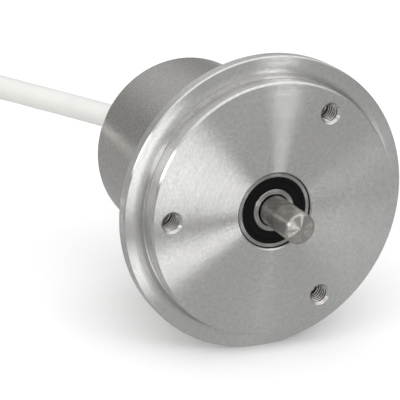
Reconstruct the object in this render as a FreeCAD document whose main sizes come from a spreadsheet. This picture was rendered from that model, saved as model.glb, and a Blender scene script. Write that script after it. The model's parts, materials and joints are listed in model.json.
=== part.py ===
import FreeCAD, Part
import math
import os
import re

import Sketcher

# Shaft encoder with a round clamping flange, a sealed front bearing and a moulded-on cable.
# Frame: origin on the shaft's axis in the flange's mounting face, shaft tip towards -Y, +Z up.
# The floor lies at z = -flange_radius. Every length is in millimetres.

Vector = FreeCAD.Vector
Rotation = FreeCAD.Rotation

SIZES = (
    # flange
    ("flange_radius", 29.0),
    ("rim_thickness", 2.6),
    ("edge_break", 0.25),
    ("pilot_radius", 25.0),
    ("pilot_height", 3.8),
    ("pilot_break", 0.35),
    ("relief_depth", 0.2),
    ("relief_width", 0.6),
    ("boss_radius", 17.98),
    ("boss_end", 9.0),
    ("boss_break", 0.5),
    ("ring_groove_floor", 16.9),
    ("ring_groove_front", 4.6),
    ("ring_groove_width", 1.3),
    ("hub_radius", 10.0),
    ("hub_end", 14.2),
    ("land_radius", 6.6),
    ("land_front", 1.8),
    ("land_back", 6.8),
    # fixing holes, with a 4 mm thread
    ("bolt_circle_radius", 21.0),
    ("bolt_count", 3),
    ("thread_crest", 1.65),
    ("thread_root", 2.0),
    ("thread_pitch", 0.7),
    ("thread_depth", 5.0),
    ("hole_mouth", 2.15),
    # bearings, 6 x 15 x 5
    ("bearing_radius", 7.5),
    ("bearing_width", 5.0),
    ("front_bearing", -3.2),
    ("rear_bearing", 8.0),
    ("outer_land", 5.95),
    ("inner_land", 4.6),
    ("inner_shoulder", 4.15),
    ("seal_seat", 6.62),
    ("seal_lip", 4.22),
    ("seal_front", 0.15),
    ("seal_back", 0.7),
    ("seal_step", 0.1),
    ("seat_depth", 0.85),
    ("pitch_radius", 5.25),
    ("race_radius", 1.25),
    ("ball_radius", 1.19),
    ("ball_count", 7),
    ("cage_inner", 4.75),
    ("cage_outer", 5.75),
    ("cage_front", 0.95),
    ("cage_back", 3.1),
    ("pocket_radius", 1.23),
    ("preload_gap", 1.2),
    ("spring_thickness", 0.3),
    ("spring_inner", 6.75),
    ("spring_outer", 7.4),
    ("spring_clearance", 0.02),
    # shaft and magnet
    ("shaft_radius", 2.99),
    ("journal_radius", 3.0),
    ("shaft_tip", -14.3),
    ("shaft_end", 17.0),
    ("shaft_break", 0.4),
    ("shaft_relief_floor", 2.8),
    ("shaft_relief_front", -3.5),
    ("shaft_relief_back", -3.0),
    ("clip_groove_floor", 2.8),
    ("clip_front", 13.0),
    ("clip_width", 0.7),
    ("clip_radius", 4.1),
    ("clip_sweep", 312.0),
    ("holder_radius", 5.5),
    ("holder_front", 14.6),
    ("holder_web", 17.3),
    ("web_radius", 2.0),
    ("magnet_front", 17.9),
    ("magnet_back", 20.4),
    ("set_screw_radius", 1.0),
    ("set_screw_station", 16.0),
    ("hex_key_radius", 0.5),
    # electronics
    ("board_radius", 16.4),
    ("board_thickness", 1.0),
    ("sensor_board_front", 22.3),
    ("line_board_front", 30.0),
    ("post_circle_radius", 13.5),
    ("post_radius", 2.2),
    ("post_count", 3),
    ("stud_radius", 0.95),
    ("stud_length", 3.6),
    ("post_hole_radius", 1.0),
    ("post_hole_depth", 4.4),
    ("screw_head_radius", 1.9),
    ("screw_head_height", 1.3),
    ("screw_recess", 0.9),
    ("chip_height", 1.1),
    ("sensor_width", 4.4),
    ("sensor_length", 6.5),
    ("sensor_lead_span", 6.4),
    ("sensor_lead_row", 5.2),
    ("driver_height", 1.5),
    ("driver_width", 3.9),
    ("driver_length", 9.9),
    ("driver_lead_span", 6.0),
    ("driver_lead_row", 8.9),
    ("driver_x", -9.0),
    ("lead_thickness", 0.5),
    ("capacitor_length", 1.6),
    ("capacitor_width", 0.8),
    ("capacitor_station", 8.0),
    ("header_pitch", 2.54),
    ("header_pins", 5),
    ("header_depth", 2.5),
    ("header_drop", -10.5),
    ("header_x", 2.5),
    ("header_pin_width", 0.64),
    ("socket_width", 7.6),
    ("socket_height", 4.4),
    ("socket_depth", 3.0),
    ("socket_wall", 0.9),
    ("socket_floor", 0.8),
    ("socket_plug_gap", 0.1),
    ("socket_plug_depth", 3.2),
    ("core_radius", 0.35),
    ("core_circle_radius", 1.6),
    ("core_count", 8),
    # housing
    ("shell_radius", 19.0),
    ("shell_wall", 1.0),
    ("shell_front", 2.6),
    ("shell_back", 42.0),
    ("shell_corner", 1.6),
    ("cable_hole", 4.2),
    ("grommet_neck", 4.16),
    ("grommet_lip", 5.3),
    ("grommet_front", 39.8),
    ("grommet_nose", 3.5),
    ("cable_exit", 45.5),
    ("cable_radius", 2.7),
    ("jacket_end", 37.0),
    ("clamp_radius", 4.0),
    ("clamp_front", 37.6),
    ("clamp_back", 39.6),
    # coil of spare cable, on the floor, held by a tie
    ("coil_x", -80.0),
    ("coil_y", 63.0),
    ("coil_radius", 27.0),
    ("coil_columns", 3),
    ("coil_layers", 2),
    ("coil_lift", 0.8),
    ("tie_angle", 250.0),
    ("tie_gap", 0.15),
    ("tie_wall", 0.6),
    ("tie_width", 4.5),
    ("tie_lock_depth", 3.5),
    ("tie_lock_width", 6.0),
    ("tie_lock_height", 5.0),
    ("tie_lock_lift", 3.0),
    # plug at the far end, with stations from its cable end towards its tip
    ("plug_x", -106.0),
    ("plug_y", 30.5),
    ("plug_height", 7.3),
    ("boot_tip_radius", 3.6),
    ("boot_radius", 4.6),
    ("boot_length", 9.0),
    ("cable_seat", 5.5),
    ("grip_start", 13.0),
    ("grip_end", 27.0),
    ("grip_radius", 6.2),
    ("sleeve_radius", 4.9),
    ("sleeve_bore", 4.3),
    ("insert_start", 31.0),
    ("insert_end", 37.0),
    ("insert_break", 0.5),
    ("plug_length", 43.0),
    ("pin_radius", 0.4),
    ("pin_point", 0.2),
    ("pin_length", 5.0),
    ("pin_circle_radius", 2.75),
    ("pin_count", 7),
    ("nut_bore", 4.97),
    ("nut_start", 27.3),
    ("nut_grip_end", 35.0),
    ("nut_end", 42.9),
    ("nut_radius", 7.25),
    ("nut_break", 0.45),
    ("nut_root", 5.5),
    ("nut_crest", 6.0),
    ("nut_pitch", 1.0),
    ("knurl_count", 24),
    ("knurl_floor", 6.95),
    ("knurl_mouth", 7.6),
)

# Points of the cable between the housing and the coil, and between the coil and the plug.
CABLE_ROUTE = (
    (0, 37, 0),
    (0, 52.5, 0),
    (-2.5, 69, -2),
    (-15, 84, -0.3),
    (-34.5, 90.9, 5),
    (-48.5, 95, 2.6),
    (-60.5, 98, -4.8),
    (-72.5, 97.1, -14.4),
    (-85.3, 95, -20.1),
)
TAIL_ROUTE = (
    (-110.9, 53.2, -25.5),
    (-108.2, 44.4, -24.5),
    (-106.3, 34.6, -21.9),
    (-106, 25, -21.7),
)

doc = FreeCAD.newDocument("encoder")
sheet = doc.addObject("Spreadsheet::Sheet", "Sizes")
parts = []


def fill_sheet():
    for row, (alias, value) in enumerate(SIZES, start=1):
        sheet.set("A%d" % row, alias)
        sheet.set("B%d" % row, str(value))
        sheet.setAlias("B%d" % row, alias)
    doc.recompute()


def bound(formula):
    """The formula with each size's name turned into a reference to the sheet."""
    return re.sub(r"[a-z]\w+", lambda word: "Sizes." + word.group(), str(formula))


def size(formula):
    """The formula's value now."""
    value = sheet.evalExpression(bound(formula))
    return float(getattr(value, "Value", value))


def mirrored(points, length):
    """The same profile turned end for end within a piece of the given length."""
    return [(radius, "%s - (%s)" % (length, station)) for radius, station in points]


def new_body(label):
    body = doc.addObject("PartDesign::Body", label)
    body.Label = label
    parts.append(body)
    return body


def origin_part(body, role):
    return next(item for item in body.Origin.OriginFeatures if item.Role == role)


def new_sketch(body, name, plane="XY_Plane"):
    sketch = body.newObject("Sketcher::SketchObject", name)
    sketch.AttachmentSupport = [(origin_part(body, plane), "")]
    sketch.MapMode = "FlatFace"
    return sketch


def fix_distance(sketch, kind, line, formula):
    """Hold a line's first end at a signed distance from the sketch's origin."""
    index = sketch.addConstraint(Sketcher.Constraint(kind, -1, 1, line, 1, size(formula)))
    sketch.setExpression("Constraints[%d]" % index, bound(formula))


def draw_outline(sketch, points):
    """Draw a closed outline of straight lines through points given as pairs of formulas."""
    places = [Vector(size(across), size(along), 0) for across, along in points]
    first = sketch.GeometryCount
    count = len(places)
    for index, place in enumerate(places):
        sketch.addGeometry(Part.LineSegment(place, places[(index + 1) % count]))
    for index in range(count):
        line = first + index
        following = first + (index + 1) % count
        sketch.addConstraint(Sketcher.Constraint("Coincident", line, 2, following, 1))
    for index, (across, along) in enumerate(points):
        fix_distance(sketch, "DistanceX", first + index, across)
        fix_distance(sketch, "DistanceY", first + index, along)


def draw_circle(sketch, across, along, radius):
    place = Vector(size(across), size(along), 0)
    circle = sketch.addGeometry(Part.Circle(place, Vector(0, 0, 1), size(radius)))
    for kind, formula in (("DistanceX", across), ("DistanceY", along)):
        index = sketch.addConstraint(Sketcher.Constraint(kind, -1, 1, circle, 3, size(formula)))
        sketch.setExpression("Constraints[%d]" % index, bound(formula))
    index = sketch.addConstraint(Sketcher.Constraint("Radius", circle, size(radius)))
    sketch.setExpression("Constraints[%d]" % index, bound(radius))


def draw_axis(sketch, across):
    """A construction line parallel to the shaft, for a profile to be turned about."""
    line = Part.LineSegment(Vector(size(across), 0, 0), Vector(size(across), 1, 0))
    axis = sketch.addGeometry(line, True)
    fix_distance(sketch, "DistanceX", axis, across)
    sketch.addConstraint(Sketcher.Constraint("Vertical", axis))


def offset_by(points, across):
    return [("%s + (%s)" % (across, radius), along) for radius, along in points]


def place(body, x="0", y="0", z="0", rotation=Rotation()):
    body.Placement = FreeCAD.Placement(Vector(size(x), size(y), size(z)), rotation)
    for letter, formula in (("x", x), ("y", y), ("z", z)):
        if formula != "0":
            body.setExpression(".Placement.Base." + letter, bound(formula))


def turn(body, name, points, across="0", kind="Revolution", sweep="360"):
    """Turn an outline about a line parallel to the shaft, as solid or as a cut."""
    sketch = new_sketch(body, name + "_profile")
    draw_outline(sketch, offset_by(points, across))
    return turn_sketch(body, name, sketch, across, kind, sweep)


def turn_sketch(body, name, sketch, across, kind, sweep="360"):
    draw_axis(sketch, across)
    feature = body.newObject("PartDesign::" + kind, name)
    feature.Profile = sketch
    feature.ReferenceAxis = (sketch, ["Axis0"])
    feature.setExpression("Angle", bound(sweep))
    doc.recompute()
    return feature


def turn_circle(body, name, across, along, radius, axis_across, kind="Revolution"):
    """Turn a circle about a line parallel to the shaft."""
    sketch = new_sketch(body, name + "_profile")
    draw_circle(sketch, across, along, radius)
    return turn_sketch(body, name, sketch, axis_across, kind)


def turn_sphere(body, name, across, along, radius, kind="Revolution"):
    """Turn a half disc into a sphere."""
    sketch = new_sketch(body, name + "_profile")
    middle = Vector(size(across), size(along), 0)
    reach = size(radius)
    arc = Part.ArcOfCircle(Part.Circle(middle, Vector(0, 0, 1), reach), -math.pi / 2, math.pi / 2)
    curve = sketch.addGeometry(arc)
    top = middle + Vector(0, reach, 0)
    bottom = middle - Vector(0, reach, 0)
    line = sketch.addGeometry(Part.LineSegment(top, bottom))
    sketch.addConstraint(Sketcher.Constraint("Coincident", curve, 2, line, 1))
    sketch.addConstraint(Sketcher.Constraint("Coincident", line, 2, curve, 1))
    sketch.addConstraint(Sketcher.Constraint("PointOnObject", curve, 3, line))
    sketch.addConstraint(Sketcher.Constraint("Vertical", line))
    for kind_of_distance, formula in (("DistanceX", across), ("DistanceY", along)):
        constraint = Sketcher.Constraint(kind_of_distance, -1, 1, curve, 3, size(formula))
        index = sketch.addConstraint(constraint)
        sketch.setExpression("Constraints[%d]" % index, bound(formula))
    index = sketch.addConstraint(Sketcher.Constraint("Radius", curve, reach))
    sketch.setExpression("Constraints[%d]" % index, bound(radius))
    return turn_sketch(body, name, sketch, across, kind)


def around_shaft(body, feature, count):
    """Repeat a feature evenly around the shaft."""
    pattern = body.newObject("PartDesign::PolarPattern", feature.Name + "_ring")
    pattern.Originals = [feature]
    pattern.Axis = (origin_part(body, "Y_Axis"), [""])
    pattern.Angle = 360
    pattern.setExpression("Occurrences", bound(count))
    body.Tip = pattern
    doc.recompute()
    return pattern


def block(body, name, width, height, length, x="0", z="0", start="0", kind="Pad"):
    """A box, or a cut of that shape, that runs from a station towards +Y."""
    sketch = new_sketch(body, name + "_outline", "XZ_Plane")
    sketch.AttachmentOffset = FreeCAD.Placement(Vector(0, 0, -size(start)), Rotation())
    low_x = "%s - (%s) / 2" % (x, width)
    high_x = "%s + (%s) / 2" % (x, width)
    low_z = "%s - (%s) / 2" % (z, height)
    high_z = "%s + (%s) / 2" % (z, height)
    draw_outline(sketch, [(low_x, low_z), (high_x, low_z), (high_x, high_z), (low_x, high_z)])
    feature = body.newObject("PartDesign::" + kind, name)
    feature.Profile = sketch
    feature.Reversed = kind == "Pad"
    feature.setExpression("Length", bound(length))
    doc.recompute()
    return feature


def must_cut(body, before):
    """Stop if the last cut removed nothing."""
    if body.Shape.Volume > before - 0.001:
        raise RuntimeError("%s: a cut removed nothing" % body.Label)


def turned_piece(label, points, across="0", count="1", station="0", sweep="360"):
    """A piece that is one turned profile, repeated around the shaft if there are several."""
    body = new_body(label)
    feature = turn(body, label + "_turned", points, across, "Revolution", sweep)
    if size(count) > 1:
        around_shaft(body, feature, count)
    place(body, y=station)
    return body


# ---- flange, shaft and housing ----

def make_flange():
    body = new_body("flange")
    outline = [
        ("bearing_radius + edge_break", "-pilot_height"),
        ("pilot_radius - pilot_break", "-pilot_height"),
        ("pilot_radius", "pilot_break - pilot_height"),
        ("pilot_radius", "-relief_width"),
        ("pilot_radius - relief_depth", "relief_depth - relief_width"),
        ("pilot_radius - relief_depth", "relief_depth"),
        ("pilot_radius + relief_width", "relief_depth"),
        ("pilot_radius + relief_width + relief_depth", "0"),
        ("flange_radius - edge_break", "0"),
        ("flange_radius", "edge_break"),
        ("flange_radius", "rim_thickness - edge_break"),
        ("flange_radius - edge_break", "rim_thickness"),
        ("boss_radius", "rim_thickness"),
        ("boss_radius", "ring_groove_front"),
        ("ring_groove_floor", "ring_groove_front"),
        ("ring_groove_floor", "ring_groove_front + ring_groove_width"),
        ("boss_radius", "ring_groove_front + ring_groove_width"),
        ("boss_radius", "boss_end - boss_break"),
        ("boss_radius - boss_break", "boss_end"),
        ("hub_radius", "boss_end"),
        ("hub_radius", "hub_end - edge_break"),
        ("hub_radius - edge_break", "hub_end"),
        ("bearing_radius + edge_break", "hub_end"),
        ("bearing_radius", "hub_end - edge_break"),
        ("bearing_radius", "land_back"),
        ("land_radius", "land_back"),
        ("land_radius", "land_front"),
        ("bearing_radius", "land_front"),
        ("bearing_radius", "edge_break - pilot_height"),
    ]
    turn(body, "flange_turned", outline)
    before = body.Shape.Volume
    hole = turn(body, "fixing_hole", fixing_hole_outline(), "-bolt_circle_radius", "Groove")
    around_shaft(body, hole, "bolt_count")
    must_cut(body, before)
    before = body.Shape.Volume
    stud_hole = [
        ("0", "boss_end"),
        ("stud_radius", "boss_end"),
        ("stud_radius", "boss_end - post_hole_depth"),
        ("0", "boss_end - post_hole_depth - stud_radius / 2"),
    ]
    post_hole = turn(body, "post_hole", stud_hole, "post_circle_radius", "Groove")
    around_shaft(body, post_hole, "post_count")
    must_cut(body, before)
    place(body)


def fixing_hole_outline():
    """Countersunk blind hole whose wall carries the thread as a row of V grooves."""
    outline = [
        ("0", "-pilot_height"),
        ("hole_mouth", "-pilot_height"),
        ("thread_crest", "hole_mouth - thread_crest - pilot_height"),
    ]
    grooves = int((size("thread_depth") - 1) / size("thread_pitch"))
    for index in range(grooves):
        middle = "hole_mouth - thread_crest - pilot_height + thread_pitch * %.1f" % (index + 0.6)
        outline.append(("thread_crest", middle + " - thread_pitch * 0.42"))
        outline.append(("thread_root", middle + " - thread_pitch * 0.06"))
        outline.append(("thread_root", middle + " + thread_pitch * 0.06"))
        outline.append(("thread_crest", middle + " + thread_pitch * 0.42"))
    outline.append(("thread_crest", "thread_depth - pilot_height"))
    outline.append(("0", "thread_depth - pilot_height + thread_crest / 2"))
    return outline


def make_shaft():
    outline = [
        ("0", "shaft_tip"),
        ("shaft_radius - shaft_break", "shaft_tip"),
        ("shaft_radius", "shaft_tip + shaft_break"),
        ("shaft_radius", "shaft_relief_front"),
        ("shaft_relief_floor", "shaft_relief_front"),
        ("shaft_relief_floor", "shaft_relief_back"),
        ("journal_radius", "shaft_relief_back"),
        ("journal_radius", "clip_front"),
        ("clip_groove_floor", "clip_front"),
        ("clip_groove_floor", "clip_front + clip_width"),
        ("journal_radius", "clip_front + clip_width"),
        ("journal_radius", "shaft_end - edge_break"),
        ("journal_radius - edge_break", "shaft_end"),
        ("0", "shaft_end"),
    ]
    turned_piece("shaft", outline)


def make_shell():
    body = new_body("housing_shell")
    inner = "shell_radius - shell_wall"
    inner_back = "shell_back - shell_wall"
    outline = [
        (inner, "shell_front"),
        ("shell_radius", "shell_front"),
        ("shell_radius", "shell_back"),
        ("cable_hole", "shell_back"),
        ("cable_hole", inner_back),
        (inner, inner_back),
    ]
    cup = turn(body, "shell_turned", outline)
    corners = {"shell_radius": "shell_corner", inner: "shell_corner - shell_wall"}
    for radius, corner in corners.items():
        edges = ring_edges(cup, size(radius), size("shell_front") + 1)
        fillet = body.newObject("PartDesign::Fillet", "rear_corner_%d" % size(radius))
        fillet.Base = (cup, edges)
        fillet.setExpression("Radius", bound(corner))
        doc.recompute()
        cup = fillet
    place(body)


def ring_edges(feature, radius, behind):
    """Names of the circular edges of one radius that lie behind a station."""
    names = []
    for index, edge in enumerate(feature.Shape.Edges, start=1):
        curve = edge.Curve
        if not isinstance(curve, Part.Circle):
            continue
        if abs(curve.Radius - radius) < 0.01 and curve.Center.y > behind:
            names.append("Edge%d" % index)
    return names


def make_housing_ring():
    ring = doc.addObject("Part::Torus", "housing_o_ring")
    ring.Label = "housing_o_ring"
    ring.setExpression("Radius1", bound("(ring_groove_floor + shell_radius - shell_wall) / 2"))
    ring.setExpression("Radius2", bound("(shell_radius - shell_wall - ring_groove_floor) / 2.06"))
    across = Rotation(Vector(1, 0, 0), 90)
    place(ring, y="ring_groove_front + ring_groove_width / 2", rotation=across)
    parts.append(ring)


def make_grommet():
    outline = [
        ("cable_radius", "grommet_front"),
        ("grommet_lip", "grommet_front"),
        ("grommet_lip", "shell_back - shell_wall"),
        ("grommet_neck", "shell_back - shell_wall"),
        ("grommet_neck", "shell_back"),
        ("grommet_lip", "shell_back"),
        ("grommet_lip", "shell_back + edge_break * 4"),
        ("grommet_nose", "cable_exit"),
        ("cable_radius", "cable_exit"),
    ]
    turned_piece("cable_grommet", outline)


def make_cable_clamp():
    outline = [
        ("cable_radius", "clamp_front"),
        ("clamp_radius - edge_break", "clamp_front"),
        ("clamp_radius", "clamp_front + edge_break"),
        ("clamp_radius", "clamp_back - edge_break"),
        ("clamp_radius - edge_break", "clamp_back"),
        ("cable_radius", "clamp_back"),
    ]
    turned_piece("cable_clamp", outline)


# ---- bearings ----

def make_bearing(name, station):
    make_outer_ring(name, station)
    make_inner_ring(name, station)
    make_balls(name, station)
    make_cage(name, station)
    seal = [
        ("seal_lip", "seal_front + seal_step"),
        ("inner_land", "seal_front"),
        ("outer_land - seal_step * 4", "seal_front"),
        ("outer_land - seal_step * 3", "seal_front + seal_step"),
        ("outer_land - seal_step", "seal_front + seal_step"),
        ("outer_land", "seal_front"),
        ("seal_seat", "seal_front"),
        ("seal_seat", "seal_back"),
        ("seal_lip", "seal_back"),
    ]
    turned_piece(name + "_front_seal", seal, station=station)
    turned_piece(name + "_rear_seal", mirrored(seal, "bearing_width"), station=station)


def make_outer_ring(name, station):
    body = new_body(name + "_outer_ring")
    outline = [
        ("seal_seat", "0"),
        ("bearing_radius - edge_break", "0"),
        ("bearing_radius", "edge_break"),
        ("bearing_radius", "bearing_width - edge_break"),
        ("bearing_radius - edge_break", "bearing_width"),
        ("seal_seat", "bearing_width"),
        ("seal_seat", "bearing_width - seat_depth"),
        ("outer_land", "bearing_width - seat_depth"),
        ("outer_land", "seat_depth"),
        ("seal_seat", "seat_depth"),
    ]
    turn(body, name + "_outer_turned", outline)
    cut_race(body, name + "_outer_race")
    place(body, y=station)


def make_inner_ring(name, station):
    body = new_body(name + "_inner_ring")
    outline = [
        ("journal_radius", "edge_break"),
        ("journal_radius + edge_break", "0"),
        ("inner_shoulder - edge_break / 2", "0"),
        ("inner_shoulder", "edge_break / 2"),
        ("inner_shoulder", "seat_depth"),
        ("inner_land", "seat_depth"),
        ("inner_land", "bearing_width - seat_depth"),
        ("inner_shoulder", "bearing_width - seat_depth"),
        ("inner_shoulder", "bearing_width - edge_break / 2"),
        ("inner_shoulder - edge_break / 2", "bearing_width"),
        ("journal_radius + edge_break", "bearing_width"),
        ("journal_radius", "bearing_width - edge_break"),
    ]
    turn(body, name + "_inner_turned", outline)
    cut_race(body, name + "_inner_race")
    place(body, y=station)


def cut_race(body, name):
    before = body.Shape.Volume
    turn_circle(body, name, "pitch_radius", "bearing_width / 2", "race_radius", "0", "Groove")
    must_cut(body, before)


def make_balls(name, station):
    body = new_body(name + "_balls")
    ball = turn_sphere(body, name + "_ball", "pitch_radius", "bearing_width / 2", "ball_radius")
    around_shaft(body, ball, "ball_count")
    place(body, y=station)


def make_cage(name, station):
    body = new_body(name + "_cage")
    outline = [
        ("cage_inner", "cage_front"),
        ("cage_outer", "cage_front"),
        ("cage_outer", "cage_back"),
        ("cage_inner", "cage_back"),
    ]
    turn(body, name + "_cage_turned", outline)
    before = body.Shape.Volume
    middle = "bearing_width / 2"
    pocket_name = name + "_pocket"
    pocket = turn_sphere(body, pocket_name, "pitch_radius", middle, "pocket_radius", "Groove")
    around_shaft(body, pocket, "ball_count")
    must_cut(body, before)
    place(body, y=station)


def make_wave_spring():
    """A thin ring that rises and falls three times on its way round."""
    waves = 3
    samples = 36
    thickness = size("spring_thickness")
    swing = size("(preload_gap - spring_thickness) / 2 - spring_clearance")
    rings = []
    for radius in (size("spring_inner"), size("spring_outer")):
        points = []
        for index in range(samples):
            angle = 2 * math.pi * index / samples
            rise = swing * math.cos(waves * angle)
            points.append(Vector(radius * math.cos(angle), rise, radius * math.sin(angle)))
        curve = Part.BSplineCurve()
        curve.interpolate(points, PeriodicFlag=True)
        rings.append(curve.toShape())
    band = Part.makeRuledSurface(rings[0], rings[1])
    spring = doc.addObject("Part::Feature", "wave_spring")
    spring.Label = "wave_spring"
    spring.Shape = band.extrude(Vector(0, thickness, 0))
    station = size("land_back + (preload_gap - spring_thickness) / 2")
    spring.Placement = FreeCAD.Placement(Vector(0, station, 0), Rotation())
    parts.append(spring)


def make_shaft_clip():
    outline = [
        ("clip_groove_floor", "clip_front"),
        ("clip_radius", "clip_front"),
        ("clip_radius", "clip_front + clip_width"),
        ("clip_groove_floor", "clip_front + clip_width"),
    ]
    turned_piece("shaft_clip", outline, sweep="clip_sweep")


# ---- magnet and electronics ----

def make_magnet_holder():
    body = new_body("magnet_holder")
    outline = [
        ("journal_radius", "holder_front"),
        ("holder_radius - edge_break", "holder_front"),
        ("holder_radius", "holder_front + edge_break"),
        ("holder_radius", "magnet_back - edge_break"),
        ("holder_radius - edge_break", "magnet_back"),
        ("journal_radius", "magnet_back"),
        ("journal_radius", "magnet_front"),
        ("web_radius", "magnet_front"),
        ("web_radius", "holder_web"),
        ("journal_radius", "holder_web"),
    ]
    turn(body, "holder_turned", outline)
    before = body.Shape.Volume
    sketch = new_sketch(body, "screw_hole_outline", "YZ_Plane")
    draw_circle(sketch, "set_screw_station", "0", "set_screw_radius")
    hole = body.newObject("PartDesign::Pocket", "screw_hole")
    hole.Profile = sketch
    hole.Reversed = True
    hole.setExpression("Length", bound("holder_radius"))
    doc.recompute()
    must_cut(body, before)
    place(body)


def make_set_screw():
    """A headless screw, drawn along the shaft's direction and then laid across it."""
    length = "(holder_radius - journal_radius)"
    outline = [
        ("0", "edge_break"),
        ("set_screw_radius - edge_break", "edge_break"),
        ("set_screw_radius", "edge_break * 2"),
        ("set_screw_radius", length + " - edge_break"),
        ("hex_key_radius", length + " - edge_break"),
        ("hex_key_radius", length + " / 2"),
        ("0", length + " / 2"),
    ]
    body = turned_piece("magnet_set_screw", outline)
    across = Rotation(Vector(0, 0, 1), -90)
    place(body, x="journal_radius", y="set_screw_station", rotation=across)


def make_magnet():
    reach = "journal_radius - edge_break"
    outline = [
        ("0", "magnet_front"),
        (reach, "magnet_front"),
        ("journal_radius", "magnet_front + edge_break"),
        ("journal_radius", "magnet_back - edge_break"),
        (reach, "magnet_back"),
        ("0", "magnet_back"),
    ]
    turned_piece("magnet", outline)


def make_board(label, station):
    body = new_body(label)
    outline = [
        ("0", "0"),
        ("board_radius", "0"),
        ("board_radius", "board_thickness"),
        ("0", "board_thickness"),
    ]
    turn(body, label + "_disc", outline)
    before = body.Shape.Volume
    hole = [
        ("0", "0"),
        ("post_hole_radius", "0"),
        ("post_hole_radius", "board_thickness"),
        ("0", "board_thickness"),
    ]
    drilled = turn(body, label + "_hole", hole, "post_circle_radius", "Groove")
    around_shaft(body, drilled, "post_count")
    must_cut(body, before)
    place(body, y=station)


def make_posts(label, front, back):
    """Round spacers with a threaded stud in front and a tapped hole behind."""
    outline = [
        ("0", front + " - stud_length"),
        ("stud_radius", front + " - stud_length"),
        ("stud_radius", front),
        ("post_radius", front),
        ("post_radius", back),
        ("stud_radius", back),
        ("stud_radius", back + " - post_hole_depth"),
        ("0", back + " - post_hole_depth"),
    ]
    turned_piece(label, outline, "post_circle_radius", "post_count")


def make_board_screws():
    seat = "line_board_front + board_thickness"
    outline = [
        ("0", seat + " - stud_length"),
        ("stud_radius", seat + " - stud_length"),
        ("stud_radius", seat),
        ("screw_head_radius", seat),
        ("screw_head_radius", seat + " + screw_head_height / 2"),
        ("screw_head_radius * 0.7", seat + " + screw_head_height"),
        ("screw_recess * 0.8", seat + " + screw_head_height"),
        ("screw_recess * 0.5", seat + " + screw_head_height - screw_recess"),
        ("0", seat + " + screw_head_height - screw_recess"),
    ]
    turned_piece("board_screws", outline, "post_circle_radius", "post_count")


def make_sensor_chip():
    """A flat chip facing the magnet, with leads down to the board on both long sides."""
    body = new_body("sensor_chip")
    block(body, "chip_block", "sensor_width", "sensor_length", "chip_height - 0.1")
    lead = block(body, "chip_lead", "sensor_lead_span", "lead_thickness * 0.6", "lead_thickness",
                 z="-sensor_lead_row / 2", start="chip_height - lead_thickness")
    place(body, y="sensor_board_front - chip_height")
    repeat_along(body, lead, "Z_Axis", "sensor_lead_row", "9")


def repeat_along(body, feature, axis, length, count):
    """Repeat a feature in a straight row of the given length."""
    row = body.newObject("PartDesign::LinearPattern", feature.Name + "_row")
    row.Originals = [feature]
    row.Direction = (origin_part(body, axis), [""])
    row.setExpression("Length", bound(length))
    row.setExpression("Occurrences", bound(count))
    body.Tip = row
    doc.recompute()


def make_line_driver():
    body = new_body("line_driver_chip")
    block(body, "driver_block", "driver_width", "driver_length", "driver_height", x="driver_x")
    lead = block(body, "driver_lead", "driver_lead_span", "lead_thickness * 0.8",
                 "lead_thickness", x="driver_x", z="-driver_lead_row / 2")
    place(body, y="line_board_front + board_thickness")
    repeat_along(body, lead, "Z_Axis", "driver_lead_row", "8")


def make_capacitors():
    """Small ceramic parts on the back of the sensor board."""
    body = new_body("board_capacitors")
    width = "capacitor_width"
    small = block(body, "capacitor", "capacitor_length", width, width, x="capacitor_station")
    pattern = body.newObject("PartDesign::PolarPattern", "capacitor_ring")
    pattern.Originals = [small]
    pattern.Axis = (origin_part(body, "Y_Axis"), [""])
    pattern.Angle = 240
    pattern.Occurrences = 5
    pattern.Reversed = True
    body.Tip = pattern
    place(body, y="sensor_board_front + board_thickness")


def make_header():
    """Pins in a plastic strip that join the two boards."""
    gap = "(line_board_front - sensor_board_front - board_thickness)"
    side = "header_pin_width"
    drop = "header_drop"
    first = "header_x + header_pitch * (1 - header_pins) / 2"
    row = "header_pitch * (header_pins - 1)"
    strip = new_body("board_header_strip")
    width = "header_pitch * header_pins"
    block(strip, "strip_block", width, "header_depth", gap, x="header_x", z=drop)
    before = strip.Shape.Volume
    hole = block(strip, "strip_hole", side, side, gap, x=first, z=drop, kind="Pocket")
    repeat_along(strip, hole, "X_Axis", row, "header_pins")
    must_cut(strip, before)
    place(strip, y="sensor_board_front + board_thickness")
    pins = new_body("board_header_pins")
    pin = block(pins, "pin", side, side, gap, x=first, z=drop)
    repeat_along(pins, pin, "X_Axis", row, "header_pins")
    place(pins, y="sensor_board_front + board_thickness")


def make_cable_connector():
    """Socket on the line board, the plug in it, and the cores that run into the cable."""
    back = "line_board_front + board_thickness"
    mouth_width = "socket_width - 2 * socket_wall"
    mouth_height = "socket_height - 2 * socket_wall + 0.2"
    socket = new_body("cable_socket")
    block(socket, "socket_block", "socket_width", "socket_height", "socket_depth")
    before = socket.Shape.Volume
    block(socket, "socket_mouth", mouth_width, mouth_height, "socket_depth - socket_floor",
          start="socket_floor", kind="Pocket")
    must_cut(socket, before)
    place(socket, y=back)
    plug = new_body("cable_plug")
    plug_width = mouth_width + " - 2 * socket_plug_gap"
    plug_height = mouth_height + " - 2 * socket_plug_gap"
    block(plug, "plug_block", plug_width, plug_height, "socket_plug_depth")
    place(plug, y=back + " + socket_floor")
    cores = new_body("cable_cores")
    start = back + " + socket_floor + socket_plug_depth"
    outline = [
        ("0", start),
        ("core_radius", start),
        ("core_radius", "jacket_end"),
        ("0", "jacket_end"),
    ]
    core = turn(cores, "core", outline, "core_circle_radius")
    around_shaft(cores, core, "core_count")
    place(cores)


# ---- cable and plug ----

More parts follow.
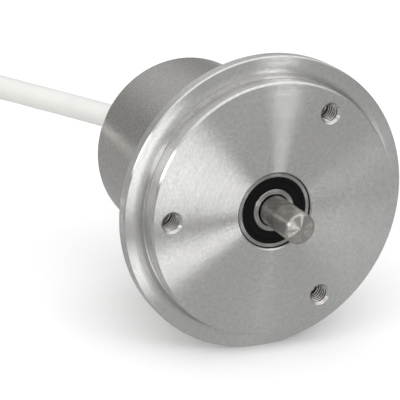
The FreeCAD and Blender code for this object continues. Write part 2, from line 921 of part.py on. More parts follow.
def route_path(points):
    """Straight runs joined by arcs that touch them, as one wire, with its length."""
    places = [Vector(*point) for point in points]
    edges = []
    start = places[0]
    for before, corner, after in zip(places, places[1:], places[2:]):
        into = (corner - before).normalize()
        out = (after - corner).normalize()
        turn_angle = into.getAngle(out)
        shorter = min((corner - before).Length, (after - corner).Length)
        reach = 0.45 * shorter
        radius = reach / math.tan(turn_angle / 2)
        first = corner - into * reach
        last = corner + out * reach
        inward = (out - into).normalize()
        middle = corner + inward * (radius / math.cos(turn_angle / 2) - radius)
        edges.append(Part.LineSegment(start, first).toShape())
        edges.append(Part.Arc(first, middle, last).toShape())
        start = last
        print("bend radius %.1f mm, turn %.0f degrees" % (radius, math.degrees(turn_angle)))
    edges.append(Part.LineSegment(start, places[-1]).toShape())
    return Part.Wire(edges)


def make_tube(label, points):
    path = route_path(points)
    radius = size("cable_radius")
    direction = Vector(*points[1]) - Vector(*points[0])
    section = Part.Wire([Part.Circle(Vector(*points[0]), direction, radius).toShape()])
    tube = doc.addObject("Part::Feature", label)
    tube.Label = label
    tube.Shape = path.makePipeShell([section], True, False)
    tube.Placement = FreeCAD.Placement()
    expected = math.pi * radius ** 2 * path.Length
    print("%s: length %.1f mm, volume %.1f of %.1f mm3"
          % (label, path.Length, tube.Shape.Volume, expected))
    if abs(tube.Shape.Volume / expected - 1) > 0.01:
        raise RuntimeError(label + ": the tube's volume is wrong")
    parts.append(tube)


def make_coil():
    """The coil's outer shape as one ring with broken corners."""
    half_width = "(coil_columns * cable_radius)"
    height = "(coil_layers * cable_radius * 2)"
    corner = "(cable_radius / 2)"
    inner = "coil_radius - " + half_width
    outer = "coil_radius + " + half_width
    outline = [
        (inner + " + " + corner, "0"),
        (outer + " - " + corner, "0"),
        (outer, corner),
        (outer, height + " - " + corner),
        (outer + " - " + corner, height),
        (inner + " + " + corner, height),
        (inner, height + " - " + corner),
        (inner, corner),
    ]
    body = turned_piece("cable_coil", outline)
    place(body, "coil_x", "coil_y", "coil_lift - flange_radius", Rotation(Vector(1, 0, 0), 90))


def make_tie():
    """A strap looped round the coil's section, with its lock on the outer side."""
    gap = size("tie_gap")
    wall = size("tie_wall")
    width = size("tie_width")
    reach = size("coil_columns * cable_radius") + gap
    height = size("coil_layers * cable_radius * 2") + gap
    middle = size("coil_radius")
    low = size("coil_lift")
    inner = Part.makeBox(2 * reach, width, height, Vector(middle - reach, -width / 2, low))
    outer = Part.makeBox(2 * (reach + wall), width, height + 2 * wall,
                         Vector(middle - reach - wall, -width / 2, low - wall))
    upright = [edge for edge in outer.Edges
               if abs(edge.tangentAt(edge.FirstParameter).y) > 0.9]
    outer = outer.makeFillet(wall * 1.5, upright)
    lock_width = size("tie_lock_width")
    lock_corner = Vector(middle + reach + wall / 2, -lock_width / 2, low + size("tie_lock_lift"))
    lock = Part.makeBox(size("tie_lock_depth"), lock_width, size("tie_lock_height"), lock_corner)
    tie = doc.addObject("Part::Feature", "cable_tie")
    tie.Label = "cable_tie"
    tie.Shape = outer.fuse(lock).cut(inner).removeSplitter()
    middle_of_coil = Vector(size("coil_x"), size("coil_y"), -size("flange_radius"))
    around = Rotation(Vector(0, 0, 1), size("tie_angle"))
    tie.Placement = FreeCAD.Placement(middle_of_coil, around)
    parts.append(tie)


def make_plug_piece(label, points, across="0", count="1"):
    """A turned piece of the plug, from radii and distances towards the plug's tip."""
    outline = [(radius, "-(%s)" % station) for radius, station in points]
    body = turned_piece(label, outline, across, count)
    place_on_plug(body)


def place_on_plug(body):
    place(body, "plug_x", "plug_y", "plug_height - flange_radius")


def make_plug():
    shell = [
        ("cable_radius", "0"),
        ("boot_tip_radius", "0"),
        ("boot_radius", "boot_length"),
        ("grip_radius", "grip_start"),
        ("grip_radius", "grip_end"),
        ("sleeve_radius", "grip_end"),
        ("sleeve_radius", "plug_length"),
        ("sleeve_bore", "plug_length"),
        ("sleeve_bore", "insert_start"),
        ("0", "insert_start"),
        ("0", "cable_seat"),
        ("cable_radius", "cable_seat"),
    ]
    make_plug_piece("plug_body", shell)
    insert = [
        ("0", "insert_start"),
        ("sleeve_bore", "insert_start"),
        ("sleeve_bore", "insert_end - insert_break"),
        ("sleeve_bore - insert_break", "insert_end"),
        ("0", "insert_end"),
    ]
    make_plug_piece("plug_insert", insert)
    pin = [
        ("0", "insert_end"),
        ("pin_radius", "insert_end"),
        ("pin_radius", "insert_end + pin_length - pin_radius"),
        ("pin_point", "insert_end + pin_length"),
        ("0", "insert_end + pin_length"),
    ]
    make_plug_piece("plug_pins", pin, "pin_circle_radius", "pin_count")
    make_plug_piece("plug_centre_pin", pin)


def make_plug_nut():
    """A knurled nut with an outside thread, free to turn on the plug's body."""
    body = new_body("plug_nut")
    outline = [
        ("nut_bore", "-nut_start"),
        ("nut_radius - nut_break", "-nut_start"),
        ("nut_radius", "-nut_start - nut_break"),
        ("nut_radius", "nut_break - nut_grip_end"),
        ("nut_radius - nut_break", "-nut_grip_end"),
        ("nut_root", "-nut_grip_end"),
    ]
    turns = int(size("(nut_end - nut_grip_end) / nut_pitch"))
    for index in range(turns):
        start = "-nut_grip_end - nut_pitch * %.1f" % (index + 0.5)
        outline.append(("nut_root", start))
        outline.append(("nut_crest", start + " - nut_pitch * 0.4"))
        outline.append(("nut_crest", start + " - nut_pitch * 0.55"))
    outline.append(("nut_root", "-nut_end"))
    outline.append(("nut_bore", "-nut_end"))
    turn(body, "nut_turned", outline)
    before = body.Shape.Volume
    sketch = new_sketch(body, "knurl_outline", "XZ_Plane")
    half = "(knurl_mouth - knurl_floor)"
    notch_outline = [("knurl_floor", "0"), ("knurl_mouth", half), ("knurl_mouth", "-" + half)]
    draw_outline(sketch, notch_outline)
    notch = body.newObject("PartDesign::Pocket", "knurl_notch")
    notch.Profile = sketch
    notch.Reversed = True
    notch.setExpression("Length", bound("nut_grip_end"))
    doc.recompute()
    around_shaft(body, notch, "knurl_count")
    must_cut(body, before)
    place_on_plug(body)


def check_and_write():
    doc.recompute()
    failed = [item.Name for item in doc.Objects
              if "Invalid" in item.State or "Error" in item.State]
    if failed:
        raise RuntimeError("failed objects: %s" % failed)
    os.makedirs("parts", exist_ok=True)
    for piece in parts:
        shape = piece.Shape
        if shape.isNull() or not shape.isValid() or not shape.Solids:
            raise RuntimeError("%s has no valid solid" % piece.Label)
        shape.exportStep("parts/%s.step" % piece.Label)
        print("%-26s %2d solids %10.1f mm3" % (piece.Label, len(shape.Solids), shape.Volume))
    print("%d nodes" % len(parts))


fill_sheet()
make_flange()
make_shaft()
make_shell()
make_housing_ring()
make_grommet()
make_cable_clamp()
make_bearing("front_bearing", "front_bearing")
make_bearing("rear_bearing", "rear_bearing")
make_wave_spring()
make_shaft_clip()
make_magnet_holder()
make_set_screw()
make_magnet()
make_board("sensor_board", "sensor_board_front")
make_board("line_board", "line_board_front")
make_posts("front_posts", "boss_end", "sensor_board_front")
make_posts("rear_posts", "(sensor_board_front + board_thickness)", "line_board_front")
make_board_screws()
make_sensor_chip()
make_line_driver()
make_capacitors()
make_header()
make_cable_connector()
make_tube("cable_run", CABLE_ROUTE)
make_coil()
make_tie()
make_tube("cable_tail", TAIL_ROUTE)
make_plug()
make_plug_nut()
check_and_write()
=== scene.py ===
import json
import math

import bmesh
import bpy
from mathutils import Matrix, Vector


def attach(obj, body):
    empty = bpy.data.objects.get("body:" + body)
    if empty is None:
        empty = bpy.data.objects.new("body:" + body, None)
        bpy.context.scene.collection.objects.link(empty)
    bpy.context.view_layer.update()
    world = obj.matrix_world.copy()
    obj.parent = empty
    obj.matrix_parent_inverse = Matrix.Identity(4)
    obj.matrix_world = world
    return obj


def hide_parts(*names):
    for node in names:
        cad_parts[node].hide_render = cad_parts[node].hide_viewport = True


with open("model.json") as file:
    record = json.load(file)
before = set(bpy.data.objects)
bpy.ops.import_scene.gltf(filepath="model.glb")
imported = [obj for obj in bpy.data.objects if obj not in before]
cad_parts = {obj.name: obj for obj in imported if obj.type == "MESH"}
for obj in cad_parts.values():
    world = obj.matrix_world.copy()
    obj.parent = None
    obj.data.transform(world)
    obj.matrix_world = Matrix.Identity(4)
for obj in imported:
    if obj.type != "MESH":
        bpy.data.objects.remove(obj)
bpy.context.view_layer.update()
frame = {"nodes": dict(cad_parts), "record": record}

MM = 0.001
DIAMETER = 5.4 * MM
FLOOR = -29 * MM


def direction_at(azimuth, elevation):
    """The direction at two angles in degrees. Azimuth 0 is towards -Y, and 90 is towards +X."""
    turn, rise = math.radians(azimuth), math.radians(elevation)
    return Vector((math.sin(turn) * math.cos(rise), -math.cos(turn) * math.cos(rise), math.sin(rise)))


# ---- camera ----

# The place, in metres, the angles, in degrees, and the lens are rounded from a camera model that a
# separate program fitted to the outlines in the photograph. They are not chosen by hand.
CAMERA_PLACE = Vector((-0.13207, -0.26114, 0.10003))
AZIMUTH = -24.35
ELEVATION = 18.79
ROLL = math.radians(2.04)
SENSOR_MM = 36
LENS_MM = 146.85
NEAREST_SEEN = 10 * MM


def make_camera():
    back = direction_at(AZIMUTH, ELEVATION)
    level_right = direction_at(AZIMUTH + 90, 0)
    level_up = back.cross(level_right)
    right = level_right * math.cos(ROLL) + level_up * math.sin(ROLL)
    up = back.cross(right)
    data = bpy.data.cameras.new("camera")
    data.sensor_width = SENSOR_MM
    data.lens = LENS_MM
    data.clip_start = NEAREST_SEEN
    camera = bpy.data.objects.new("camera", data)
    turned = Matrix((right, up, back)).transposed().to_4x4()
    camera.matrix_world = Matrix.Translation(CAMERA_PLACE) @ turned
    bpy.context.scene.collection.objects.link(camera)
    bpy.context.scene.camera = camera


# ---- materials ----

class Nodes:
    """Short names for making one node material."""

    def __init__(self, name):
        self.material = bpy.data.materials.new(name)
        self.material.use_nodes = True
        self.tree = self.material.node_tree
        self.shader = self.tree.nodes["Principled BSDF"]

    def set(self, **values):
        for name, value in values.items():
            self.shader.inputs[name.replace("_", " ")].default_value = value

    def add(self, kind, settings=(), **inputs):
        node = self.tree.nodes.new("ShaderNode" + kind)
        for name, value in settings:
            setattr(node, name, value)
        for name, value in inputs.items():
            self.feed(node, name.replace("_", " "), value)
        return node

    def feed(self, node, name, value):
        socket = node.inputs[int(name)] if name.isdigit() else node.inputs[name]
        if isinstance(value, bpy.types.NodeSocket):
            self.tree.links.new(value, socket)
        else:
            socket.default_value = value

    def math(self, operation, first, second):
        node = self.tree.nodes.new("ShaderNodeMath")
        node.operation = operation
        for index, value in enumerate((first, second)):
            self.feed(node, str(index), value)
        return node.outputs[0]

    def place(self):
        return self.add("TexCoord").outputs["Object"]

    def split(self, vector=None):
        parts = self.add("SeparateXYZ")
        self.feed(parts, "Vector", vector or self.place())
        return parts.outputs

    def turning(self, place):
        """Direction of turning marks round the Y axis, right at every pose of the body."""
        along = self.vector("NORMALIZE", self.vector("CROSS_PRODUCT", place, (0, 1, 0)))
        spaces = [("vector_type", "VECTOR"), ("convert_from", "OBJECT"), ("convert_to", "WORLD")]
        node = self.add("VectorTransform", spaces)
        self.feed(node, "Vector", along)
        return node.outputs["Vector"]

    def leaning(self, along, lean):
        """The surface's normal, leaned across grooves that run along a direction."""
        facing = self.add("NewGeometry").outputs["Normal"]
        across = self.vector("NORMALIZE", self.vector("CROSS_PRODUCT", along, facing))
        return self.vector("NORMALIZE", self.vector("ADD", facing, self.scale(across, lean)))

    def vector(self, operation, first, second=(0, 0, 0)):
        node = self.add("VectorMath", [("operation", operation)])
        self.feed(node, "0", first)
        self.feed(node, "1", second)
        return node.outputs["Value" if operation == "LENGTH" else "Vector"]

    def scale(self, vector, amount):
        node = self.add("VectorMath", [("operation", "SCALE")])
        self.feed(node, "0", vector)
        self.feed(node, "Scale", amount)
        return node.outputs["Vector"]

    def radius(self, centre=(0, 0, 0)):
        """Distance from a line parallel to the Y axis, in metres."""
        shifted = self.vector("SUBTRACT", self.place(), centre)
        return self.vector("LENGTH", self.vector("MULTIPLY", shifted, (1, 0, 1)))

    def noise(self, scale, detail=2.0, stretch=(1, 1, 1), rough=0.5):
        mapping = self.add("Mapping", Scale=stretch)
        self.feed(mapping, "Vector", self.place())
        node = self.add("TexNoise", Scale=scale, Detail=detail, Roughness=rough)
        self.feed(node, "Vector", mapping.outputs[0])
        return node.outputs["Fac"]

    def spread(self, value, low, high, from_low=0.0, from_high=1.0):
        """The value taken from one range to another, kept inside it."""
        node = self.add("MapRange")
        for name, number in (("Value", value), ("From Min", from_low), ("From Max", from_high),
                             ("To Min", low), ("To Max", high)):
            self.feed(node, name, number)
        return node.outputs["Result"]

    def mix(self, amount, first, second):
        node = self.add("Mix", [("data_type", "RGBA")])
        self.feed(node, "0", amount)
        self.feed(node, "6", first)
        self.feed(node, "7", second)
        return node.outputs[2]

    def bump(self, height, distance, strength=1.0, normal=None):
        node = self.add("Bump", Strength=strength, Distance=distance, Height=height)
        if normal:
            self.feed(node, "Normal", normal)
        return node.outputs["Normal"]

    def link(self, **outputs):
        for name, value in outputs.items():
            self.tree.links.new(value, self.shader.inputs[name.replace("_", " ")])


def rgb(red, green, blue):
    return (red, green, blue, 1.0)


def darkened(colour, share):
    return rgb(*(part * share for part in colour[:3]))


def ring_waves(nodes, period, detail=3.0):
    """Noise that changes with the distance from the Y axis only, as turning marks do."""
    count = nodes.math("DIVIDE", nodes.radius(), period)
    node = nodes.add("TexNoise", [("noise_dimensions", "1D")], Scale=1.0, Detail=detail)
    nodes.feed(node, "W", count)
    return node.outputs["Fac"]


def length_waves(nodes, period, detail=3.0):
    """Noise that changes along the Y axis only."""
    count = nodes.math("DIVIDE", nodes.split()[1], period)
    node = nodes.add("TexNoise", [("noise_dimensions", "1D")], Scale=1.0, Detail=detail)
    nodes.feed(node, "W", count)
    return node.outputs["Fac"]


HOLE_ANGLES = (60, 180, 300)
BOLT_CIRCLE = 21 * MM
HOLE_MOUTH = 2.18 * MM
THREAD_START = -3.31 * MM
THREAD_CREST = 1.70 * MM
THREAD_ROOT = 1.80 * MM
HOLE_BOTTOM = 1.58 * MM
HOLE_WALL = 1.64 * MM
FLANGE_STEP = 25.1 * MM
DISH_START = 25.3 * MM
DISH_END = 27.3 * MM
DISH_LEAN = 0.45
FRONT_LEAN = 0.115
GROOVE_LEAN = 0.185
GROOVE_PERIOD = 0.08 * MM


def groove_waves(nodes, period):
    """Turning marks on faces and sides alike."""
    return nodes.math("MULTIPLY", nodes.math("ADD", ring_waves(nodes, period, detail=2.0),
                                             length_waves(nodes, period, detail=2.0)), 0.5)


def make_turned_aluminium():
    """Bare turned aluminium: fine circular grooves that spread the light across them.

    The grooves run round the part's axis, and in a fixing hole round the hole's own axis.
    """
    n = Nodes("turned_aluminium")
    place = n.place()
    local, in_hole = place, 0.0
    for angle in HOLE_ANGLES:
        turn = math.radians(angle)
        middle = Vector((BOLT_CIRCLE * math.cos(turn), 0, BOLT_CIRCLE * math.sin(turn)))
        near = n.math("LESS_THAN", n.radius(middle), HOLE_MOUTH)
        in_hole = n.math("MAXIMUM", in_hole, near)
        local = n.vector("SUBTRACT", local, n.scale(middle, near))
    along = n.turning(local)
    facing = n.add("NewGeometry").outputs["Normal"]
    front = n.math("MULTIPLY", n.split(facing)[1], -FRONT_LEAN)
    lean = n.spread(groove_waves(n, GROOVE_PERIOD), -GROOVE_LEAN, GROOVE_LEAN, 0.35, 0.65)
    lean = n.math("ADD", lean, n.math("MAXIMUM", front, 0.0))
    out = n.vector("LENGTH", n.vector("MULTIPLY", local, (1, 0, 1)))
    dished = n.spread(out, DISH_LEAN, 0.0, DISH_START, DISH_END)
    faces_front = n.math("GREATER_THAN", front, 0.1)
    on_flange = n.math("MULTIPLY", n.math("GREATER_THAN", out, FLANGE_STEP), faces_front)
    lean = n.math("SUBTRACT", lean, n.math("MULTIPLY", dished, on_flange))
    lean = n.math("MULTIPLY", lean, n.math("SUBTRACT", 1.0, in_hole))
    leaning = n.leaning(along, lean)
    grain = n.noise(3000, 3.0, rough=0.75)
    sand = n.noise(1300, 4.0, rough=0.8)
    cloud = n.noise(90, 2.0)
    rings = ring_waves(n, 0.25 * MM)
    tint = n.mix(n.spread(cloud, 0.0, 1.0, 0.3, 0.7), rgb(0.755, 0.75, 0.735), rgb(0.81, 0.805, 0.795))
    tint = n.mix(n.spread(grain, 0.0, 0.5, 0.35, 0.75), tint, rgb(0.60, 0.598, 0.59))
    tint = n.mix(n.spread(sand, 0.0, 0.6, 0.42, 0.68), tint, rgb(0.60, 0.598, 0.59))
    tint = n.mix(n.spread(rings, 0.0, 0.12, 0.5, 0.75), tint, rgb(0.62, 0.62, 0.61))
    in_thread = n.math("MULTIPLY", in_hole, n.math("GREATER_THAN", n.split()[1], THREAD_START))
    root = n.spread(out, 0.0, 0.97, THREAD_CREST, THREAD_ROOT)
    bottom = n.spread(out, 0.9, 0.0, HOLE_BOTTOM, HOLE_WALL)
    tint = n.mix(in_thread, tint, rgb(1.0, 0.98, 0.93))
    # Painted shade: the thread's roots and the hole's bottom are darkened nearly to black.
    painted_thread_shade = n.math("MULTIPLY", in_thread, n.math("MAXIMUM", root, bottom))
    tint = n.mix(painted_thread_shade, tint, rgb(0.035, 0.029, 0.022))
    n.link(Base_Color=tint, Normal=n.bump(grain, 0.006 * MM, 0.5, leaning),
           Roughness=n.spread(cloud, 0.21, 0.24, 0.3, 0.7), Tangent=along)
    n.set(Metallic=1.0, Anisotropic=1.0, Anisotropic_Rotation=0.25)
    return n.material


def make_turned_steel(name, colour, roughness, ring_period=0.15 * MM, across=0.0, painted_gap_shade=None, lean=0.0):
    """Turned or ground steel, with rings on its faces and lines round its sides.

    Across says how far the grooves spread a highlight, and lean how far their walls tilt. Where the
    gap shade mask is 1 the metal is painted nearly black, as painted shade at the bottom of a narrow
    gap.
    """
    n = Nodes(name)
    marks = n.math("ADD", ring_waves(n, ring_period), length_waves(n, ring_period))
    smear = n.noise(500, 2.0)
    darker = darkened(colour, 0.82)
    tint = n.mix(n.spread(smear, 0.0, 1.0, 0.3, 0.7), darker, colour)
    tint = n.mix(n.spread(marks, 0.0, 0.3, 0.9, 1.3), tint, darker)
    if painted_gap_shade:
        # Painted shade: nearly black wherever the gap shade mask is 1.
        tint = n.mix(painted_gap_shade(n), tint, rgb(0.02, 0.018, 0.016))
    along = n.turning(n.place())
    grooves = n.spread(groove_waves(n, GROOVE_PERIOD), -lean, lean, 0.35, 0.65)
    n.link(Base_Color=tint, Normal=n.bump(marks, 0.002 * MM, 0.6, n.leaning(along, grooves)),
           Roughness=n.spread(smear, roughness * 0.9, roughness * 1.1, 0.3, 0.7), Tangent=along)
    n.set(Metallic=1.0, Anisotropic=across, Anisotropic_Rotation=0.25)
    return n.material


GAP_FRONT = -3.53 * MM
GAP_BACK = -2.9 * MM
OUTER_RING_EDGE = 7.30 * MM
INNER_RING_EDGE = 3.22 * MM


def shaft_gap(n):
    """Mask for painted shade in the relief groove where the shaft goes into its bearing."""
    depth = n.split()[1]
    front = n.math("GREATER_THAN", depth, GAP_FRONT)
    return n.math("MULTIPLY", front, n.math("LESS_THAN", depth, GAP_BACK))


def ring_gaps(n):
    """Mask for painted shade on the broken edges of a bearing's rings, next to the bore and to the
    shaft.
    """
    radius = n.radius()
    outer = n.math("GREATER_THAN", radius, OUTER_RING_EDGE)
    return n.math("MAXIMUM", outer, n.math("LESS_THAN", radius, INNER_RING_EDGE))


def make_metal(name, colour, roughness, grain=1500, depth=0.01 * MM):
    """Drawn, cast or plated metal with a fine grain."""
    n = Nodes(name)
    fine = n.noise(grain, 4.0, rough=0.65)
    broad = n.noise(grain / 12, 2.0)
    darker = darkened(colour, 0.8)
    tint = n.mix(n.spread(broad, 0.0, 1.0, 0.35, 0.65), darker, colour)
    n.link(Base_Color=tint, Normal=n.bump(fine, depth, 0.7),
           Roughness=n.spread(fine, roughness * 0.8, roughness * 1.25, 0.3, 0.7))
    n.set(Metallic=1.0)
    return n.material


def make_housing_steel():
    """Plated sheet steel: a fine mottled grain over faint marks of drawing."""
    n = Nodes("housing_steel")
    fine = n.noise(2600, 3.0, rough=0.8)
    speck = n.noise(4600, 2.0, rough=0.8)
    cloud = n.noise(130, 3.0)
    drawn = n.noise(500, 2.0, stretch=(1, 0.1, 1))
    tint = n.mix(n.spread(fine, 0.0, 1.0, 0.36, 0.64), rgb(0.46, 0.448, 0.43), rgb(0.70, 0.686, 0.66))
    tint = n.mix(n.spread(cloud, 0.0, 0.4, 0.35, 0.7), tint, rgb(0.50, 0.48, 0.455))
    tint = n.mix(n.spread(speck, 0.0, 0.6, 0.52, 0.72), tint, rgb(0.28, 0.272, 0.262))
    height = n.math("ADD", fine, n.math("MULTIPLY", drawn, 0.5))
    n.link(Base_Color=tint, Normal=n.bump(height, 0.016 * MM, 0.8),
           Roughness=n.spread(cloud, 0.14, 0.22, 0.3, 0.7))
    n.set(Metallic=1.0)
    return n.material


def make_plastic(name, colour, roughness, grain=2500, depth=0.01 * MM, shine=0.5):
    """Moulded plastic or rubber with a fine texture."""
    n = Nodes(name)
    fine = n.noise(grain, 3.0, rough=0.6)
    broad = n.noise(grain / 15, 2.0)
    darker = darkened(colour, 0.85)
    tint = n.mix(n.spread(broad, 0.0, 1.0, 0.35, 0.65), darker, colour)
    n.link(Base_Color=tint, Normal=n.bump(fine, depth, 0.6),
           Roughness=n.spread(fine, roughness * 0.85, roughness * 1.15, 0.3, 0.7))
    n.set(Specular_IOR_Level=shine)
    return n.material


def make_jacket():
    """The cable's pale soft jacket, with faint marks along it from where it was handled."""
    n = Nodes("cable_jacket")
    fine = n.noise(3000, 3.0, rough=0.6)
    broad = n.noise(60, 3.0)
    scuff = n.noise(420, 2.0)
    tint = n.mix(n.spread(broad, 0.0, 1.0, 0.35, 0.65), rgb(0.63, 0.635, 0.61), rgb(0.69, 0.69, 0.665))
    tint = n.mix(n.spread(scuff, 0.0, 0.25, 0.62, 0.8), tint, rgb(0.62, 0.61, 0.58))
    n.link(Base_Color=tint, Normal=n.bump(fine, 0.012 * MM, 0.5),
           Roughness=n.spread(fine, 0.42, 0.55, 0.3, 0.7))
    n.set(Subsurface_Weight=0.12, Subsurface_Scale=1.5 * MM)
    return n.material


def make_board_material():
    """Green solder mask over faint copper tracks, with the weave at the edge."""
    n = Nodes("circuit_board")
    place = n.place()
    brick = n.add("TexBrick", [("offset", 0.5)], Scale=420, Mortar_Size=0.03)
    turned = n.add("Mapping", Rotation=(math.radians(90), 0, 0))
    n.feed(turned, "Vector", place)
    n.feed(brick, "Vector", turned.outputs[0])
    weave = n.noise(1800, 3.0)
    tint = n.mix(brick.outputs["Fac"], rgb(0.012, 0.11, 0.045), rgb(0.03, 0.19, 0.075))
    tint = n.mix(n.spread(weave, 0.0, 0.3, 0.4, 0.7), tint, rgb(0.01, 0.07, 0.03))
    n.link(Base_Color=tint, Normal=n.bump(brick.outputs["Fac"], 0.03 * MM, 0.5))
    n.set(Roughness=0.32)
    return n.material


def make_floor_material():
    """Nearly white, even paper."""
    n = Nodes("studio_floor")
    cloud = n.noise(6, 2.0)
    tint = n.mix(cloud, rgb(0.94, 0.94, 0.94), rgb(0.96, 0.96, 0.96))
    n.link(Base_Color=tint)
    n.set(Roughness=0.9, Specular_IOR_Level=0.2)
    return n.material


def make_materials():
    """Every material of the record, by its slot.

    The CAD comes with plain materials of the same names, so Blender may add a number to these.
    """
    made = (
        make_turned_aluminium(),
        make_housing_steel(),
        make_plastic("black_rubber", rgb(0.02, 0.02, 0.021), 0.55),
        make_plastic("seal_rubber", rgb(0.003, 0.003, 0.0032), 0.45, depth=0.004 * MM, shine=0.12),
        make_turned_steel("plated_brass", rgb(0.62, 0.60, 0.56), 0.25),
        make_metal("brass", rgb(0.72, 0.53, 0.22), 0.3),
        # Stainless steel of the shaft, with painted shade in its relief groove.
        make_turned_steel("stainless_steel", rgb(0.55, 0.53, 0.495),
                          0.24, 0.12 * MM, 1.0, shaft_gap, 0.55),
        make_metal("spring_steel", rgb(0.42, 0.42, 0.43), 0.3),
        make_metal("magnet_ferrite", rgb(0.16, 0.16, 0.17), 0.4, 3000),
        make_board_material(),
        make_plastic("chip_plastic", rgb(0.018, 0.018, 0.02), 0.5),
        make_plastic("ceramic", rgb(0.55, 0.42, 0.28), 0.4),
        make_metal("gold_pins", rgb(0.90, 0.66, 0.28), 0.2, 2500),
        make_plastic("connector_plastic", rgb(0.72, 0.69, 0.60), 0.45),
        make_plastic("core_insulation", rgb(0.45, 0.10, 0.07), 0.45),
        make_jacket(),
        make_plastic("tie_nylon", rgb(0.02, 0.02, 0.02), 0.35),
        make_plastic("plug_plastic", rgb(0.022, 0.022, 0.024), 0.45, 1800, 0.02 * MM),
        make_plastic("plug_insert_plastic", rgb(0.03, 0.03, 0.03), 0.5),
        make_turned_steel("nickel", rgb(0.66, 0.63, 0.58), 0.22),
        # Bearing steel, with painted shade on the rings' broken edges by the bore and by the shaft.
        make_turned_steel("bearing_steel", rgb(0.50, 0.49, 0.47), 0.24, 0.1 * MM, 1.0, ring_gaps, 0.2),
        make_metal("ball_steel", rgb(0.66, 0.66, 0.67), 0.08, 2500, 0.001 * MM),
        make_plastic("cage_nylon", rgb(0.50, 0.33, 0.14), 0.5),
    )
    return {material.name.partition(".")[0]: material for material in made}


def dress_cad(materials):
    for part in frame["record"]["subparts"]:
        mesh = frame["nodes"][part["node"]].data
        mesh.materials.clear()
        mesh.materials.append(materials[part["material_slot"]])


# ---- cable ----

def in_metres(points):
    return [Vector(point) * MM for point in points]


ROUTE = in_metres((
    (0, 37, 0),
    (0, 52.5, 0),
    (-2.5, 69, -2),
    (-15, 84, -0.3),
    (-34.5, 90.9, 5),
    (-48.5, 95, 2.6),
    (-60.5, 98, -4.8),
    (-72.5, 97.1, -14.4),
))
TAIL = in_metres((
    (-108.2, 44.4, -24.5),
    (-106.3, 34.6, -21.9),
    (-106, 25, -21.7),
))
COIL_MIDDLE = Vector((-80, 63, 0)) * MM
COIL_OUTER = 32.4 * MM
COIL_INNER = 21.6 * MM
COIL_TOP = -20.1 * MM
COIL_BOTTOM = -25.5 * MM
COIL_START = 99.4
COIL_LAYER = 720.0
COIL_DROP = 98.3
POINTS_PER_TURN = 14


def coil_points():
    """Two layers wound inwards, down and outwards again, a diameter apart."""
    whole = 2 * COIL_LAYER + COIL_DROP
    count = round(whole / 360 * POINTS_PER_TURN)
    step = whole / count
    points = []
    for index in range(count + 1):
        turned = step * index
        if turned < COIL_LAYER:
            share = turned / COIL_LAYER
            radius = COIL_OUTER + (COIL_INNER - COIL_OUTER) * share
            height = COIL_TOP
        elif turned < COIL_LAYER + COIL_DROP:
            share = (turned - COIL_LAYER) / COIL_DROP
            radius = COIL_INNER
            height = COIL_TOP + (COIL_BOTTOM - COIL_TOP) * share
        else:
            share = (turned - COIL_LAYER - COIL_DROP) / COIL_LAYER
            radius = COIL_INNER + (COIL_OUTER - COIL_INNER) * share
            height = COIL_BOTTOM
        radius /= math.cos(math.radians(step / 2))
        angle = math.radians(COIL_START + turned)
        points.append(COIL_MIDDLE + Vector((radius * math.cos(angle), radius * math.sin(angle), height)))
    return points


TIE_ANGLE = 250
TIE_WIDTH = 4.5 * MM
TIE_WALL = 0.6 * MM
TIE_TOOTH = 0.18 * MM
TIE_EDGE = 0.25 * MM
TIE_PITCH = 0.5 * MM
TIE_BEND_STEPS = 8
TIE_CORNER = 2.4 * MM
TIE_INSIDE = 18.45 * MM
TIE_OUTSIDE = 35.55 * MM
TIE_BOTTOM = -28.5 * MM
TIE_TOP = -16.95 * MM


def tie_path():
    """Points and outward directions of a strap bent closely round the coil's section."""
    corners = (
        (TIE_OUTSIDE - TIE_CORNER, TIE_TOP - TIE_CORNER, 0),
        (TIE_INSIDE + TIE_CORNER, TIE_TOP - TIE_CORNER, 90),
        (TIE_INSIDE + TIE_CORNER, TIE_BOTTOM + TIE_CORNER, 180),
        (TIE_OUTSIDE - TIE_CORNER, TIE_BOTTOM + TIE_CORNER, 270),
    )
    bends = []
    for out, up, start in corners:
        for step in range(TIE_BEND_STEPS + 1):
            turn = math.radians(start + step * 90 / TIE_BEND_STEPS)
            away = Vector((math.cos(turn), math.sin(turn)))
            bends.append((Vector((out, up)) + away * TIE_CORNER, away))
    path = []
    for (point, away), (after, away_after) in zip(bends, bends[1:] + bends[:1]):
        steps = max(1, round((after - point).length / TIE_PITCH))
        for step in range(steps):
            share = step / steps
            path.append((point.lerp(after, share), away.lerp(away_after, share).normalized()))
    return path


